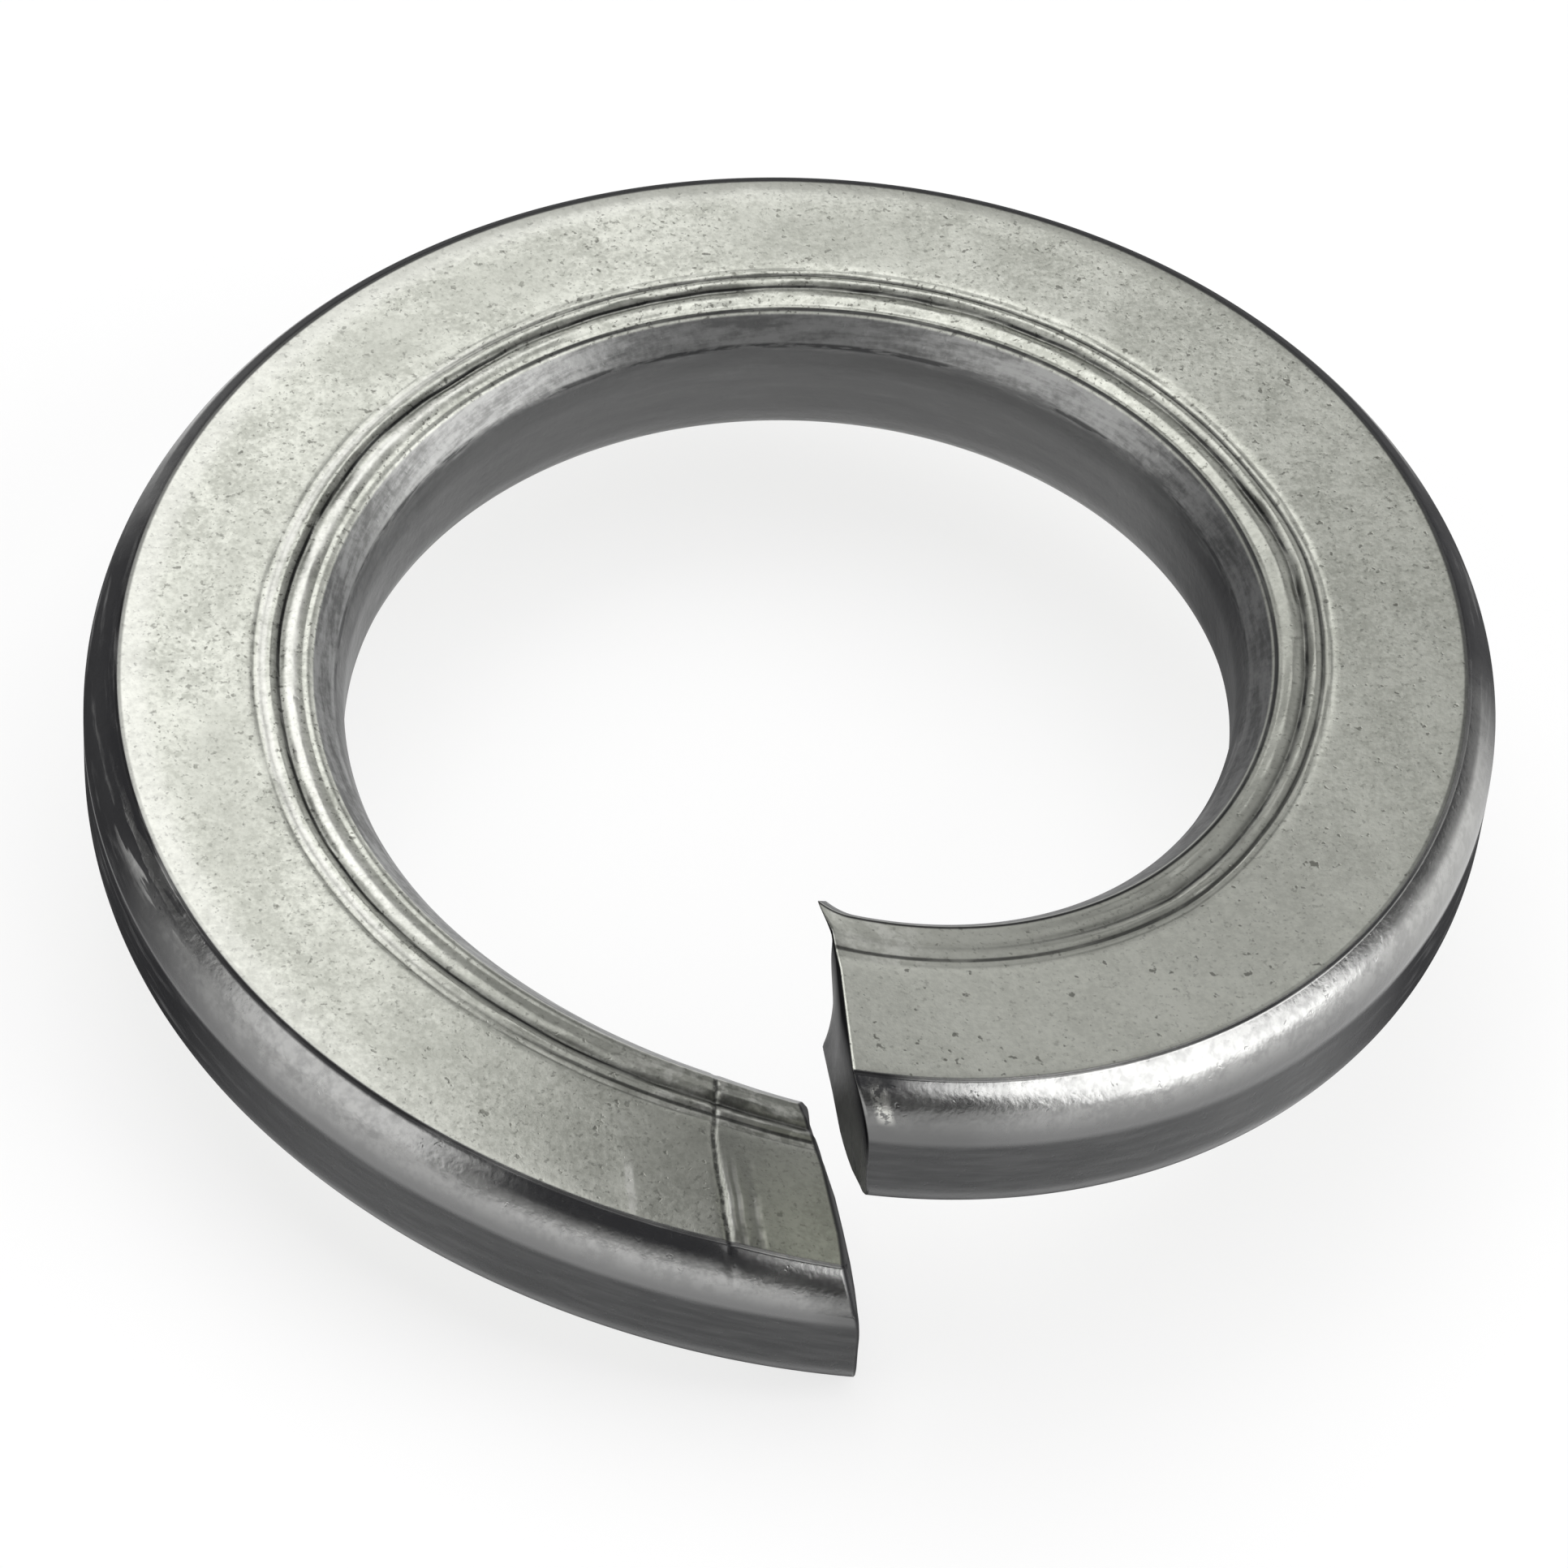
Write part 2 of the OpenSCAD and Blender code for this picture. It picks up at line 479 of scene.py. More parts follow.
# colours, gloss and relief of the steel
steel = {
    "bright": (0.77, 0.78, 0.71, 1),
    "stain": (0.50, 0.51, 0.455, 1),
    # mostly painted highlights: the face's outer edge, drawn ridges, ripples and shoulder; also
    # bright pieces near the ends
    "worn": (0.9, 0.9, 0.85, 1),
    "pressed": (0.2, 0.204, 0.188, 1),
    "pit": (0.16, 0.16, 0.14, 1),
    # painted shade: near-black for the grooves, the crease, the bevel's foot and the hole
    "grime": (0.012, 0.012, 0.014, 1),
    # painted shade: the near-black of the glossless finish that stands for shade
    "scale": (0.026, 0.026, 0.028, 1),
    # painted shade: blacker still, in the upper cut's undercut
    "soot": (0.004, 0.004, 0.005, 1),
    # the walls' dark tone is partly their duller finish and partly painted shade for the dark
    # surroundings they reflect
    "wall": (0.042, 0.043, 0.044, 1),
    "wallWorn": (0.074, 0.075, 0.076, 1),
    # partly painted shade: on the lip near both ends of the coil and the face near the lower end;
    # also a darker band at the face's back edge
    "lipWorn": (0.36, 0.365, 0.33, 1),
    "bevel": (0.30, 0.302, 0.3, 1),
    "bevelBright": (0.56, 0.56, 0.54, 1),
    "bevelDark": (0.12, 0.121, 0.12, 1),
    "shoulder": (0.46, 0.46, 0.45, 1),
    # the shoulder's foot, darkened as painted shade; also the wall's tone at the back
    "shoulderFoot": (0.2, 0.2, 0.2, 1),
    "cut": (0.17, 0.17, 0.17, 1),
    "faceRough": 0.36,
    "sideRough": 0.26,
    "bevelRough": 0.38,
    "scaleRough": 0.7,
    "roughWander": 0.12,
    "wallMetal": 0.45,
    "bump": 0.16,
    "bumpHigh": 0.00006,    # in metres
    "bumpShares": (0.5, 0.8, 0.2, -0.5),    # of grain, cloud, fine and pits
    "bumpDents": (1.4, 2.5),                # on the shoulder, and inside
}

# textures in space: features in a metre, detail and roughness
grains = {
    "blotches": (330, 3, 0.6),
    "cloud": (600, 4, 0.6),
    "dents": (1300, 3, 0.6),
    "polish": (1500, 3, 0.6),
    "pieces": (2400, 3, 0.65),
    "pits": (4300, 2, 0.5),
    "grain": (5200, 3, 0.65),
    "specks": (8000, 2, 0.6),
    "fine": (11000, 2, 0.5),
}

# textures drawn out along the coil: features in a millimetre, detail, roughness and stretch
drawnGrains = {
    "streak": (4.0, 3, 0.6, (0.12, 1, 1)),
    "drawn": (3.0, 4, 0.65, (0.25, 1.0, 1.6)),
}

# where each part of the section begins and is full: heights above the wire's middle, then radii
zones = {
    "top": (0.9, 1.2),
    "face": (1.8, 1.86),
    "shoulder": (0.5, 0.75),
    "bevel": (1.1, 1.36),
    "bevelRagged": 0.5,     # how far the drawn texture moves the foot of the bevel
    "outside": (15.42, 15.47),
    "pastBevel": (11.04, 11.09),
    "pastLip": (12.3, 12.42),
}

# marks on the face and lip; a pair says where one begins and is full, a third number how strong
# it is, angles are along the coil from the upper cut
faceMarks = {
    "textureShares": (0.3, 0.32, 0.22, 0.16),   # of cloud, grain, fine and dents
    "texture": (0.385, 0.6),
    "calm": (20, 150, 0.45),        # the texture grows over these angles, from this share
    "fresh": (45, 75, 0.25),        # painted light: brighter up to here
    "dull": (84, 40, 0.16),         # and painted shade round this angle, within half this stretch
    "specks": (0.3, 0.42),
    "specksOnFace": 0.6,
    "specksOnLip": 0.2,
    "pits": (0.26, 0.34, 0.75),
    "blotches": (0.42, 0.62, 0.5),
    "blotchBand": (13.6, 1.5),
    "blotchAngles": (60, 200),
    # painted highlight along the face's outer edge on the left
    "outerWorn": (14.5, 15.1, 0.45),
    "outerWornSpan": (245, 110),
    "backEdge": (14.92, 15.25, 0.7),
    "backEdgeSpan": (172, 64),
    "backEdgeRagged": (0.5, 0.4),   # by dents and by grain
    # painted shade on the face towards the lower end
    "lowerEnd": (295, 335, 0.3),
    # painted shade on the lip near both ends of the coil
    "lipShadeUntil": (95, 135),
    "lipShadeFrom": (300, 325),
    "lipShade": 0.5,
    # painted highlights on drawn ridges on the left: radius, half-width and strength
    "ridges": [(12.16, 0.16, 1), (11.48, 0.2, 1)],
    "ridgesFrom": (195, 235),
    "ridgesUntil": (300, 320),
    "ridgeShares": (0.5, 0.4),      # of their strength that the face's wear and painted light give, and that is always there
    "pressed": (2.4, 2.7, 0.5),     # millimetres before the lower end
    "pieces": (0.44, 0.64, 0.42),   # bright pieces of the lip beside both ends
    "piecesLower": (3.5, 6),
    "piecesUpper": (1.6, 2.6),
    "fanWide": 1.5,                 # painted highlights in strokes on the ripples, against the ripples' width
    "fanRadii": (12.6, 14.6),
    "fanBroken": (0.3, 0.6),
    "fan": 0.8,
}

# marks on the outer wall, the shoulder, the bevel and the wall of the hole
sideMarks = {
    "streaks": (0.35, 0.75),
    "away": (172, 80),              # the stretch at the back, where the wall is lighter
    "awayShares": (0.5, 0.25),
    "shoulderHigh": (0.75, 1.65),
    "mottle": (0.42, 0.62, 0.4),
    "mottleShares": (0.6, 0.4),     # of dents and of grain
    # painted highlight on the shoulder: angle, half the stretch and strength
    "shoulderLit": (66, 22, 0.15),
    # painted shade beside both cuts, where it dims the lamps' highlight
    "dullUpper": (1.6, 4.2),        # millimetres from the upper cut, and from the lower cut
    "dullLower": (0.3, 1.2),
    "dullRagged": 2,                # how far dents move its end at the upper cut
    "dull": 0.52,
    "chipFromCut": (0.48, 0.26),    # bright streak beside the upper cut
    "chipHigh": (1.58, 0.5),
    "chipBroken": (0.42, 0.52),
    "drawnMarks": (0.36, 0.62),
    "drawnShares": (0.7, 0.3),      # of the drawn texture and of grain
    # painted light: brighter stretches of the bevel: angle, half the stretch and strength
    "bevelLit": [(140, 30, 0.3), (222, 34, 0.42)],
    "litShares": (0.5, 0.5),
    "bevelShade": (178, 30, 0.45),
    "holeShares": (0.6, 0.3),
    # painted shade in the hole on the right
    "holeGrime": (98, 128, 0.45),
}

# painted shade, laid on as a near-black finish with no gloss: angle along the coil, half the
# stretch and strength
darkMarks = {
    # painted shade on the shoulder and the wall where they show dark surroundings
    "shoulder": [(94, 28, 0.93), (150, 66, 0.5), (270, 44, 0.97)],
    "wall": [(282, 44, 0.96), (66, 34, 0.94)],
    "under": (1.0, 1.5, 0.85),      # painted shade below the middle of the wire, less so at the back
    "underAway": 0.7,
    "corner": (0.7, 1.7, 0.95),     # painted shade at the outer corner of the upper cut
    "cornerBand": (15.56, 0.3),
    # painted shade in lines under the edge of the face: angle, half the stretch, half-width and
    # strength
    "edgeLines": [
        (312, 36, 0.1, 0.95),
        (341, 18, 0.34, 0.88),
        (46, 36, 0.05, 0.9),
        (98, 32, 0.16, 0.95),
    ],
    "edgeRadius": 15.47,
    "glintSpan": (289, 10),         # streaks of bare steel through the painted shade
    "glintStreaks": (0.46, 0.54),
    "glintBand": (15.74, 0.36),
    "glint": 0.95,
    "thin": (0.5, 0.8, 0.3),
    # painted shade in the hole on the right, less on the bevel
    "hole": (98, 126, 0.65),
    "holeLess": 0.45,
    "rimIn": (15.34, 15.4),         # painted shade on the ring just outside the face, at the back
    "rimOut": (15.75, 15.95),
    "rim": [(165, 170, 0.93)],
    "onUpper": (0.015, 0.055),      # millimetres from each cut
    "onLower": (0.04, 0.12),
    "upperHigh": (-0.9, 0.6),       # painted shade on the upper cut grows upwards, into its undercut
    "upperShares": (0.6, 0.38),
    # painted shade on the lower cut
    "lowerCut": 0.8,
    # heights over which the upper cut's painted shade turns blacker
    "sootHigh": (-0.3, 0.7),
}

# painted shade in lines along the coil: in the lip's grooves, along the crease and at the foot of
# the bevel
shadeLines = {
    # lines on the lip: radius, half-width, strength and how broken it is
    "grooves": [
        (11.76, 0.18, 0.55, 0.3),
        (11.78, 0.055, 0.4, 0.7),
        (12.15, 0.08, 0.8, 0.3),
        (12.35, 0.04, 0.35, 1.0),
        (11.07, 0.08, 0.95, 0.1),
    ],
    "gapNoise": (1.0, 3, 0.6),      # texture that breaks them: scale, detail and roughness
    "gapStretch": (0.5, 10),        # along the coil, and across the first line; more for the next
    "broken": (0.36, 0.5),
    "fadeEnds": (318, 335),
    "besideCut": (8, 45, 0.2),      # all but the innermost grow over these angles
    "innermost": 11.5,
    "innerFades": (200, 240, 0.7),
    "innerEdge": (11.1, 11.2),
    "creaseWide": 0.09,
    "creaseGrain": (0.35, 0.55),
    "creaseShares": (0.4, 0.35),
    "footHigh": (1.27, 0.08),       # broken line at the foot of the bevel
    "footBroken": (0.46, 0.58),
    "foot": 0.8,
}


class SteelFinish(Finish):
    def __init__(self):
        # where a place is on the washer, and the textures that several marks share
        super().__init__("springSteel")
        self.place = self.node("ShaderNodeTexCoord", {}, {}, out="Object")
        self.along = self.keptVector("along")
        _, self.radius, self.height = self.parts(self.along)
        self.before, self.fromUpper, self.fromLower = self.parts(self.keptVector("ends"))
        self.turned, self.lineRadius = self.kept("turned"), self.kept("drawn")
        self.cloud, self.grain, self.fine, self.dents = (
            self.noise(self.place, *grains[name]) for name in ("cloud", "grain", "fine", "dents")
        )
        self.streak, self.drawn = (
            self.noise(self.along, *drawnGrains[name]) for name in ("streak", "drawn")
        )
        self.pits = self.fades(self.noise(self.place, *grains["pits"]), *faceMarks["pits"][:2])
        self.tall = self.maths("ABSOLUTE", self.height)
        self.onTop = self.eased(self.height, *zones["top"])
        self.onFace = self.eased(self.tall, *zones["face"])
        self.outside = self.eased(self.radius, *zones["outside"])
        self.inside = self.fades(self.radius, *zones["pastBevel"])
        self.onLip = self.fades(self.radius, *zones["pastLip"])
        self.onShoulder = self.outside * self.eased(self.height, *zones["shoulder"])
        ragged = self.tall + (self.drawn - 0.5) * zones["bevelRagged"]
        self.onBevel = self.inside * self.eased(ragged, *zones["bevel"])
        self.onUpper = self.fades(self.fromUpper, *darkMarks["onUpper"])
        self.onLower = self.fades(self.fromLower, *darkMarks["onLower"])
        self.onCut = self.most(self.onUpper, self.onLower)
        self.atBack = self.line(self.turned, *sideMarks["away"])

    def faceColour(self):
        # stain mixed with bright steel by the texture and by painted light and shade along the
        # coil, then each mark mixed over it in turn
        marks, turned, radius = faceMarks, self.turned, self.radius
        textures = (self.cloud, self.grain, self.fine, self.dents)
        texture = sum(field * share for field, share in zip(textures, marks["textureShares"]))
        start, end, least = marks["calm"]
        spread = self.eased(turned, start, end) * (1 - least) + least
        start, end, lightness = marks["fresh"]
        centre, half, dullness = marks["dull"]
        fresh = self.fades(turned, start, end) * lightness
        fresh = fresh - self.line(turned, centre, half) * dullness
        wearAndLight = (self.eased(texture, *marks["texture"]) - 0.5) * spread + 0.5 + fresh
        face = self.mixed(wearAndLight, steel["stain"], steel["bright"])
        specks = self.fades(self.noise(self.place, *grains["specks"]), *marks["specks"])
        specks = specks * (spread * marks["specksOnFace"] + self.onLip * marks["specksOnLip"])
        face = self.mixed(specks, face, steel["pit"])
        face = self.mixed(self.pits * marks["pits"][2], face, steel["pit"])
        start, end, share = marks["blotches"]
        blotch = self.eased(self.noise(self.place, *grains["blotches"]), start, end)
        blotch = blotch * self.line(radius, *marks["blotchBand"]) * spread
        blotch = blotch * self.eased(turned, *marks["blotchAngles"])
        face = self.mixed(blotch * share, face, steel["stain"])
        # painted highlight along the outer edge on the left
        start, end, share = marks["outerWorn"]
        worn = self.eased(radius, start, end) * self.line(turned, *marks["outerWornSpan"])
        face = self.mixed(worn * share, face, steel["worn"])
        start, end, share = marks["backEdge"]
        byDents, byGrain = marks["backEdgeRagged"]
        ragged = radius + (self.dents - 0.5) * byDents + (self.grain - 0.5) * byGrain
        edge = self.eased(ragged, start, end) * self.line(turned, *marks["backEdgeSpan"])
        face = self.mixed(edge * share, face, steel["lipWorn"])
        # painted shade towards the lower end
        start, end, share = marks["lowerEnd"]
        face = self.mixed(self.eased(turned, start, end) * share, face, steel["lipWorn"])
        face = self.lipMarks(face, wearAndLight)
        start, end, share = marks["pressed"]
        face = self.mixed(self.fades(self.before, start, end) * share, face, steel["pressed"])
        return self.endMarks(face)

    def lipMarks(self, face, wearAndLight):
        # painted shade dims the lip near both ends of the coil, and painted highlights brighten
        # two ridges on the left
        marks, turned = faceMarks, self.turned
        shaded = self.most(
            self.fades(turned, *marks["lipShadeUntil"]),
            self.eased(turned, *marks["lipShadeFrom"]),
        )
        face = self.mixed(self.onLip * shaded * marks["lipShade"], face, steel["lipWorn"])
        ridge = self.stretches(self.lineRadius, marks["ridges"])
        ridge = ridge * self.eased(turned, *marks["ridgesFrom"])
        ridge = ridge * self.fades(turned, *marks["ridgesUntil"])
        byWear, least = marks["ridgeShares"]
        return self.mixed(ridge * (wearAndLight * byWear + least), face, steel["worn"])

    def endMarks(self, face):
        # bright pieces on the lip beside both ends, and painted highlights in strokes on the
        # pressed mark's ripples
        marks = faceMarks
        start, end, share = marks["pieces"]
        pieces = self.eased(self.noise(self.place, *grains["pieces"]), start, end) * self.onLip
        nearEnds = self.most(
            self.fades(self.before, *marks["piecesLower"]),
            self.fades(self.fromUpper, *marks["piecesUpper"]),
        )
        face = self.mixed(pieces * nearEnds * share, face, steel["worn"])
        strokes = [(at, wide * marks["fanWide"], 1) for at, wide, _ in pressed["ripples"]]
        fan = self.stretches(self.before, strokes)
        fan = fan * self.eased(self.radius, *marks["fanRadii"])
        fan = fan * self.eased(self.dents, *marks["fanBroken"]) * marks["fan"]
        return self.mixed(fan, face, steel["worn"])

    def shoulderColour(self):
        # painted shade darkens its foot and beside the cuts and a painted highlight lights a
        # stretch of it; it is mottled, with a bright streak beside the upper cut
        marks = sideMarks
        # painted shade: the shoulder darkens from its top down to its foot
        high = self.eased(self.height, *marks["shoulderHigh"])
        shoulder = self.mixed(high, steel["shoulderFoot"], steel["shoulder"])
        start, end, share = marks["mottle"]
        byDents, byGrain = marks["mottleShares"]
        mottle = self.eased(self.dents * byDents + self.grain * byGrain, start, end) * share
        shoulder = self.mixed(mottle, shoulder, steel["shoulderFoot"])
        # painted highlight on a stretch of the shoulder
        lit = self.stretches(self.turned, [marks["shoulderLit"]])
        shoulder = self.mixed(lit, shoulder, steel["worn"])
        # painted shade beside both cuts
        ragged = self.fromUpper + (self.dents - 0.5) * marks["dullRagged"]
        dull = self.most(
            self.fades(ragged, *marks["dullUpper"]),
            self.fades(self.fromLower, *marks["dullLower"]),
        )
        shoulder = self.mixed(dull * marks["dull"], shoulder, steel["bevelDark"])
        brightStreak = self.line(self.fromUpper, *marks["chipFromCut"])
        brightStreak = brightStreak * self.line(self.height, *marks["chipHigh"])
        brightStreak = brightStreak * self.eased(self.grain, *marks["chipBroken"])
        return self.mixed(brightStreak, shoulder, steel["worn"])

    def sideColour(self):
        # wall and shoulder outside, bevel and the wall of the hole inside
        marks = sideMarks
        streaks = self.eased(self.streak, *marks["streaks"])
        wall = self.mixed(streaks, steel["wall"], steel["wallWorn"])
        byStreak, least = marks["awayShares"]
        away = self.atBack * (self.streak * byStreak + least)
        wall = self.mixed(away, wall, steel["shoulderFoot"])
        side = self.mixed(self.onShoulder, wall, self.shoulderColour())
        byDrawn, byGrain = marks["drawnShares"]
        mottled = self.drawn * byDrawn + self.grain * byGrain
        mottled = self.eased(mottled, *marks["drawnMarks"])
        bevel = self.mixed(mottled, steel["bevelDark"], steel["bevel"])
        byMottle, least = marks["litShares"]
        # painted light on two stretches of the bevel
        for centre, half, share in marks["bevelLit"]:
            lit = self.line(self.turned, centre, half) * (mottled * byMottle + least) * share
            bevel = self.mixed(lit, bevel, steel["bevelBright"])
        shade = self.stretches(self.turned, [marks["bevelShade"]])
        bevel = self.mixed(shade, bevel, steel["bevelDark"])
        side = self.mixed(self.onBevel, side, bevel)
        # the wall of the hole darker than the bevel, partly its duller finish and partly painted
        # shade
        byMottle, least = marks["holeShares"]
        hole = self.inside * (1 - self.onBevel) * (mottled * byMottle + least)
        side = self.mixed(hole, side, steel["bevelDark"])
        # painted shade darkens the hole on the right
        start, end, share = marks["holeGrime"]
        holeShaded = self.inside * self.fades(self.turned, start, end) * share
        return self.mixed(holeShaded, side, steel["grime"])

    def darkShare(self):
        # painted shade: the greatest of all the dark stretches, thinned by streaks and broken by
        # glints of bare steel
        marks, turned, radius = darkMarks, self.turned, self.radius
        start, end, share = marks["under"]
        under = self.eased(0 - self.height, start, end) * share
        under = under * (1 - self.atBack * marks["underAway"])
        start, end, share = marks["corner"]
        corner = self.fades(self.fromUpper, start, end)
        corner = corner * self.line(radius, *marks["cornerBand"]) * self.onTop * share
        lines = [
            self.line(radius, marks["edgeRadius"] + wide / 2, wide)
            * self.line(turned, centre, half) * self.onTop * share
            for centre, half, wide, share in marks["edgeLines"]
        ]
        dark = self.most(
            self.stretches(turned, marks["shoulder"]) * self.onShoulder,
            self.stretches(turned, marks["wall"]) * (1 - self.onShoulder),
            under, corner, *lines,
        )
        glints = self.line(turned, *marks["glintSpan"])
        glints = glints * self.eased(self.streak, *marks["glintStreaks"])
        glints = glints * self.line(radius, *marks["glintBand"]) * self.onTop
        start, end, share = marks["thin"]
        dark = dark * self.outside * (1 - glints * marks["glint"])
        dark = dark * (1 - self.eased(self.streak, start, end) * share)
        start, end, share = marks["hole"]
        hole = self.fades(turned, start, end) * (share - self.onBevel * marks["holeLess"])
        rim = self.eased(radius, *marks["rimIn"]) * self.fades(radius, *marks["rimOut"])
        rim = rim * self.onTop * self.stretches(turned, marks["rim"])
        dark = self.most(dark, hole * self.inside, rim) * (1 - self.onCut)
        # the cuts carry painted shade, the upper cut's darkest near its top edge
        byHeight, least = marks["upperShares"]
        upper = self.onUpper * (self.eased(self.height, *marks["upperHigh"]) * byHeight + least)
        return self.most(dark, upper, self.onLower * marks["lowerCut"])

    def shadeLineShare(self):
        # painted shade: the sum of the grooves' lines, or the crease or the bevel's foot where
        # they are darker
        marks, turned = shadeLines, self.turned
        grime = 0.0
        alongCoil, firstLine = marks["gapStretch"]
        for k, (centre, half, strength, gaps) in enumerate(marks["grooves"]):
            stretch = (alongCoil, 0, firstLine + k)
            texture = self.noise(self.along, *marks["gapNoise"], stretch=stretch)
            broken = self.eased(texture, *marks["broken"]) * gaps + (1 - gaps)
            if centre == lip["fading"]:
                fading = self.eased(turned, *lip["fades"]) * self.fades(turned, *marks["fadeEnds"])
                broken = broken * (1 - fading * lip["fade"])
            elif centre > marks["innermost"]:
                start, end, least = marks["besideCut"]
                broken = broken * (self.eased(turned, start, end) * (1 - least) + least)
            line = self.line(self.lineRadius, centre, half)
            grime = line * broken * (self.onFace * strength) + grime
        start, end, share = marks["innerFades"]
        inner = self.eased(turned, start, end) * self.fades(self.radius, *marks["innerEdge"])
        grime = grime * (1 - inner * share)
        byGrain, least = marks["creaseShares"]
        crease = self.line(self.before, pressed["start"], marks["creaseWide"]) * self.onFace
        crease = crease * (self.eased(self.grain, *marks["creaseGrain"]) * byGrain + least)
        foot = self.line(self.tall, *marks["footHigh"]) * self.inside
        foot = foot * self.eased(self.drawn, *marks["footBroken"]) * marks["foot"]
        return self.most(grime, crease, foot) * (1 - self.onCut)

    def colour(self):
        # the face over the sides, the cuts over both, and the painted shade of the lines over all
        faced = self.onFace * (1 - self.outside)
        colour = self.mixed(faced, self.sideColour(), self.faceColour())
        cut = self.mixed(self.grain, steel["cut"], steel["wall"])
        colour = self.mixed(self.onCut, colour, cut)
        return self.mixed(self.shadeLineShare(), colour, steel["grime"])

    def roughness(self):
        # a wandering roughness, smoother outside and rougher on the bevel
        wander, plain = steel["roughWander"], steel["faceRough"]
        rough = self.noise(self.place, *grains["polish"]) * wander + (plain - wander / 2)
        rough = rough - self.outside * (steel["faceRough"] - steel["sideRough"])
        return rough + self.inside * (steel["bevelRough"] - steel["faceRough"])

    def relief(self):
        # the textures summed, with pits let in, and dents on the shoulder and inside
        textures = (self.grain, self.cloud, self.fine, self.pits)
        height = sum(field * share for field, share in zip(textures, steel["bumpShares"]))
        onShoulder, inside = steel["bumpDents"]
        height = height + self.dents * (self.onShoulder * onShoulder + self.inside * inside)
        return self.node("ShaderNodeBump", {}, {
            "Strength": steel["bump"],
            "Distance": steel["bumpHigh"],
            "Height": height,
        })


def steelMaterial():
    # bare steel and a near-black glossless finish that paints shade, mixed by the dark share
    f = SteelFinish()
    relief = f.relief()
    onSide = f.most(f.outside, f.inside)
    bare = f.node("ShaderNodeBsdfPrincipled", {}, {
        "Base Color": f.colour(),
        "Metallic": 1 - onSide * (1 - f.onShoulder) * (1 - steel["wallMetal"]),
        "Roughness": f.roughness(),
        "Normal": relief,
    })
    # painted shade, blacker towards the top of the upper cut's undercut
    undercutShaded = f.onUpper * f.eased(f.height, *darkMarks["sootHigh"])
    # the painted shade's finish: near-black and without gloss
    scale = f.node("ShaderNodeBsdfPrincipled", {}, {
        "Base Color": f.mixed(undercutShaded, steel["scale"], steel["soot"]),
        "Roughness": steel["scaleRough"],
        "Specular IOR Level": 0.0,
        "Normal": relief,
    })
    shader = f.node("ShaderNodeMixShader", {}, {0: f.darkShare(), 1: bare, 2: scale})
    f.node("ShaderNodeOutputMaterial", {}, {"Surface": shader})
    return f.material


washer.data.materials.append(steelMaterial())
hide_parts("washer")
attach(washer, "root")
print("finish made")

# the camera looks down on the split from in front, turned a little about its own axis
camera = {
    "azimuth": -98.75,      # direction from the coil to the camera, from +X towards +Y
    "elevation": 47.78,
    "distance": 161.2,
    "lens": 159.7,
    "roll": -5.12,
    "aside": 0.08,          # how far the coil's middle stands right of the view's middle
    "above": 1.83,          # and how far above it
    "middleTurn": 180.0,    # the angle along the coil whose height the camera looks at
    "nearest": 0.01,        # the nearest thing it sees, in metres
}


def direction(azimuth, elevation):
    # a unit vector from two angles in degrees
    a, e = math.radians(azimuth), math.radians(elevation)
    return Vector((math.cos(a) * math.cos(e), math.sin(a) * math.cos(e), math.sin(e)))


def makeCamera():
    # the eye stands back from the coil's middle; it looks past it, so the middle is off centre
    back = direction(camera["azimuth"], camera["elevation"])
    right = Vector((0, 0, 1)).cross(back).normalized()
    up = back.cross(right)
    roll = math.radians(camera["roll"])
    across = right * math.cos(roll) - up * math.sin(roll)
    upward = right * math.sin(roll) + up * math.cos(roll)
    middle = Vector((0, 0, surface["base"] + riseAt(np.array(camera["middleTurn"])).item()))
    eye = middle + back * camera["distance"]
    aim = middle - across * camera["aside"] - upward * camera["above"]
    look = (eye - aim).normalized()
    side = upward.cross(look).normalized()
    top = look.cross(side)
    data = bpy.data.cameras.new("camera")
    data.lens = camera["lens"]
    data.clip_start = camera["nearest"]
    made = bpy.data.objects.new("camera", data)
    made.matrix_world = Matrix((side, top, look)).transposed().to_4x4()
    made.location = eye * mm
    bpy.context.scene.collection.objects.link(made)
    bpy.context.scene.camera = made


makeCamera()
print("camera set, base height", round(surface["base"], 3))

# a round floor that sweeps up into a low wall; it keeps the shadow, and a share of it shows
# plain white to the camera and in the metal
floor = {
    "radius": 1.9,
    "sweep": 0.2,
    "wall": 0.44,
    "rings": [0, 0.05, 0.3, 1.0],
    "sweepSteps": 12,
    "sides": 96,
    "colour": (0.93, 0.93, 0.93, 1),
    "glow": 0.75,
    "rough": 0.9,
}


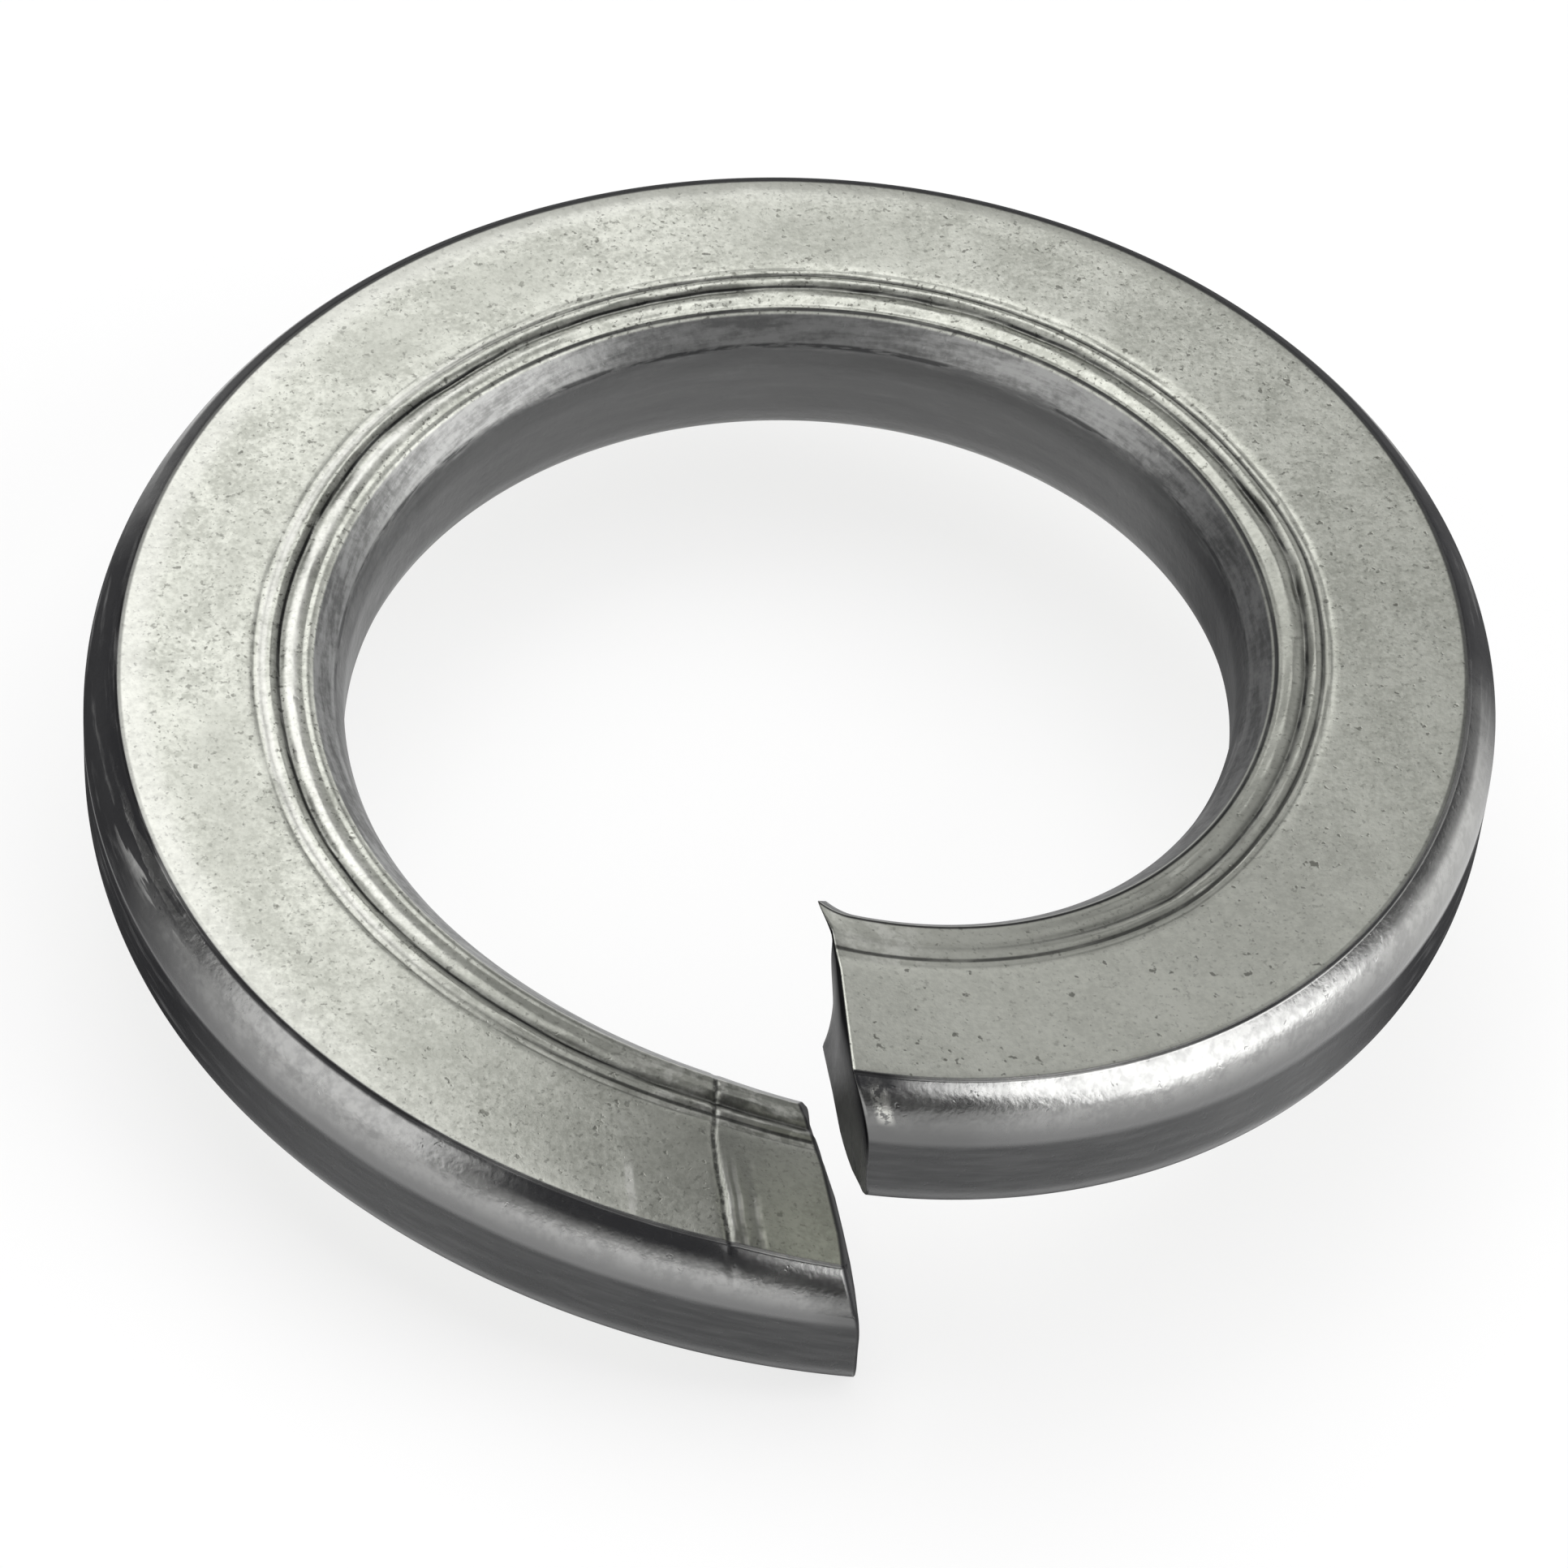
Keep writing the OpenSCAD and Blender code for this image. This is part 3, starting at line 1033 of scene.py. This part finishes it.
def makeFloor():
    # a profile of radius and height turned about the middle: flat, a quarter circle, then upright
    q = np.linspace(0, math.pi / 2, floor["sweepSteps"] + 1)
    rings = np.array(floor["rings"])
    swept = floor["radius"] - floor["sweep"] * (1 - np.sin(q))
    r = np.concatenate([rings, swept, [floor["radius"]]])
    z = np.concatenate([0 * rings, floor["sweep"] * (1 - np.cos(q)), [floor["wall"]]])
    turns = np.linspace(0, 2 * math.pi, floor["sides"] + 1)[:-1, None]
    points = np.stack([r * np.cos(turns), r * np.sin(turns), z + 0 * turns], axis=-1)
    points = points.reshape(-1, 3)
    index = np.arange(turns.size * r.size).reshape(turns.size, r.size)
    there = np.roll(index, -1, axis=0)
    quads = np.stack([index[:, :-1], index[:, 1:], there[:, 1:], there[:, :-1]], axis=-1)
    mesh = bpy.data.meshes.new("floor")
    mesh.from_pydata(points, [], quads.reshape(-1, 4).tolist())
    mesh.polygons.foreach_set("use_smooth", np.ones(len(mesh.polygons), bool))
    made = bpy.data.objects.new("floor", mesh)
    bpy.context.scene.collection.objects.link(made)
    f = Finish("paleFloor")
    lit = f.node("ShaderNodeBsdfPrincipled", {}, {
        "Base Color": floor["colour"],
        "Roughness": floor["rough"],
    })
    white = f.node("ShaderNodeEmission", {}, {"Color": (1, 1, 1, 1), "Strength": 1.0})
    seen = 0.0
    for ray in ("Is Camera Ray", "Is Glossy Ray", "Is Transmission Ray"):
        seen = f.node("ShaderNodeLightPath", {}, {}, out=ray) + seen
    share = f.maths("MINIMUM", seen, 1.0) * floor["glow"]
    shader = f.node("ShaderNodeMixShader", {}, {0: share, 1: lit, 2: white})
    f.node("ShaderNodeOutputMaterial", {}, {"Surface": shader})
    mesh.materials.append(f.material)


# a lamp stands in a direction as the camera sees it: turn is to the right of straight away
lamps = {
    "backLeft": {"turn": -29, "up": 60, "far": 0.5, "size": 0.42, "level": 1.45, "glossy": True},
    "backRight": {"turn": 30, "up": 28, "far": 0.5, "size": 0.26, "level": 0.6, "glossy": True},
    "rightFront": {"turn": 102, "up": 28, "far": 0.5, "size": 0.36, "level": 3.0, "glossy": True},
    "leftFront": {"turn": -121, "up": 36, "far": 0.5, "size": 0.4, "level": 1.2, "glossy": True},
    "front": {"turn": 185, "up": 12, "far": 0.7, "size": 0.5, "level": 0.4, "glossy": True},
    "leftHigh": {"turn": -85, "up": 50, "far": 0.6, "size": 0.26, "level": 0.32, "glossy": True},
    "rightHigh": {"turn": 122, "up": 57, "far": 0.6, "size": 0.3, "level": 0.5, "glossy": True},
    "rearLow": {"turn": -20, "up": 10, "far": 0.6, "size": 0.2, "level": 1.2, "glossy": True},
    "overhead": {"turn": 20, "up": 75, "far": 0.8, "size": 0.9, "level": 1.7, "glossy": False},
}


def makeLamps():
    # each lamp is a square panel that faces the middle; its power grows with its area
    for name, lamp in lamps.items():
        data = bpy.data.lights.new(name, "AREA")
        data.shape = "SQUARE"
        data.size = lamp["size"]
        data.energy = lamp["level"] * math.pi * lamp["size"] ** 2
        made = bpy.data.objects.new(name, data)
        toward = direction(camera["azimuth"] + 180 - lamp["turn"], lamp["up"])
        made.location = toward * lamp["far"]
        made.rotation_euler = toward.to_track_quat("Z", "Y").to_euler()
        made.visible_glossy = lamp["glossy"]
        made.visible_camera = False
        bpy.context.scene.collection.objects.link(made)


worldLight = 0.05           # strength of the plain light all round


def makeWorld():
    # the same faint white from every side
    world = bpy.data.worlds.new("studio")
    world.use_nodes = True
    back = world.node_tree.nodes["Background"]
    back.inputs["Color"].default_value = (1, 1, 1, 1)
    back.inputs["Strength"].default_value = worldLight
    bpy.context.scene.world = world


makeFloor()
makeLamps()
makeWorld()
bpy.context.scene.view_settings.view_transform = "Standard"
print("stage set")
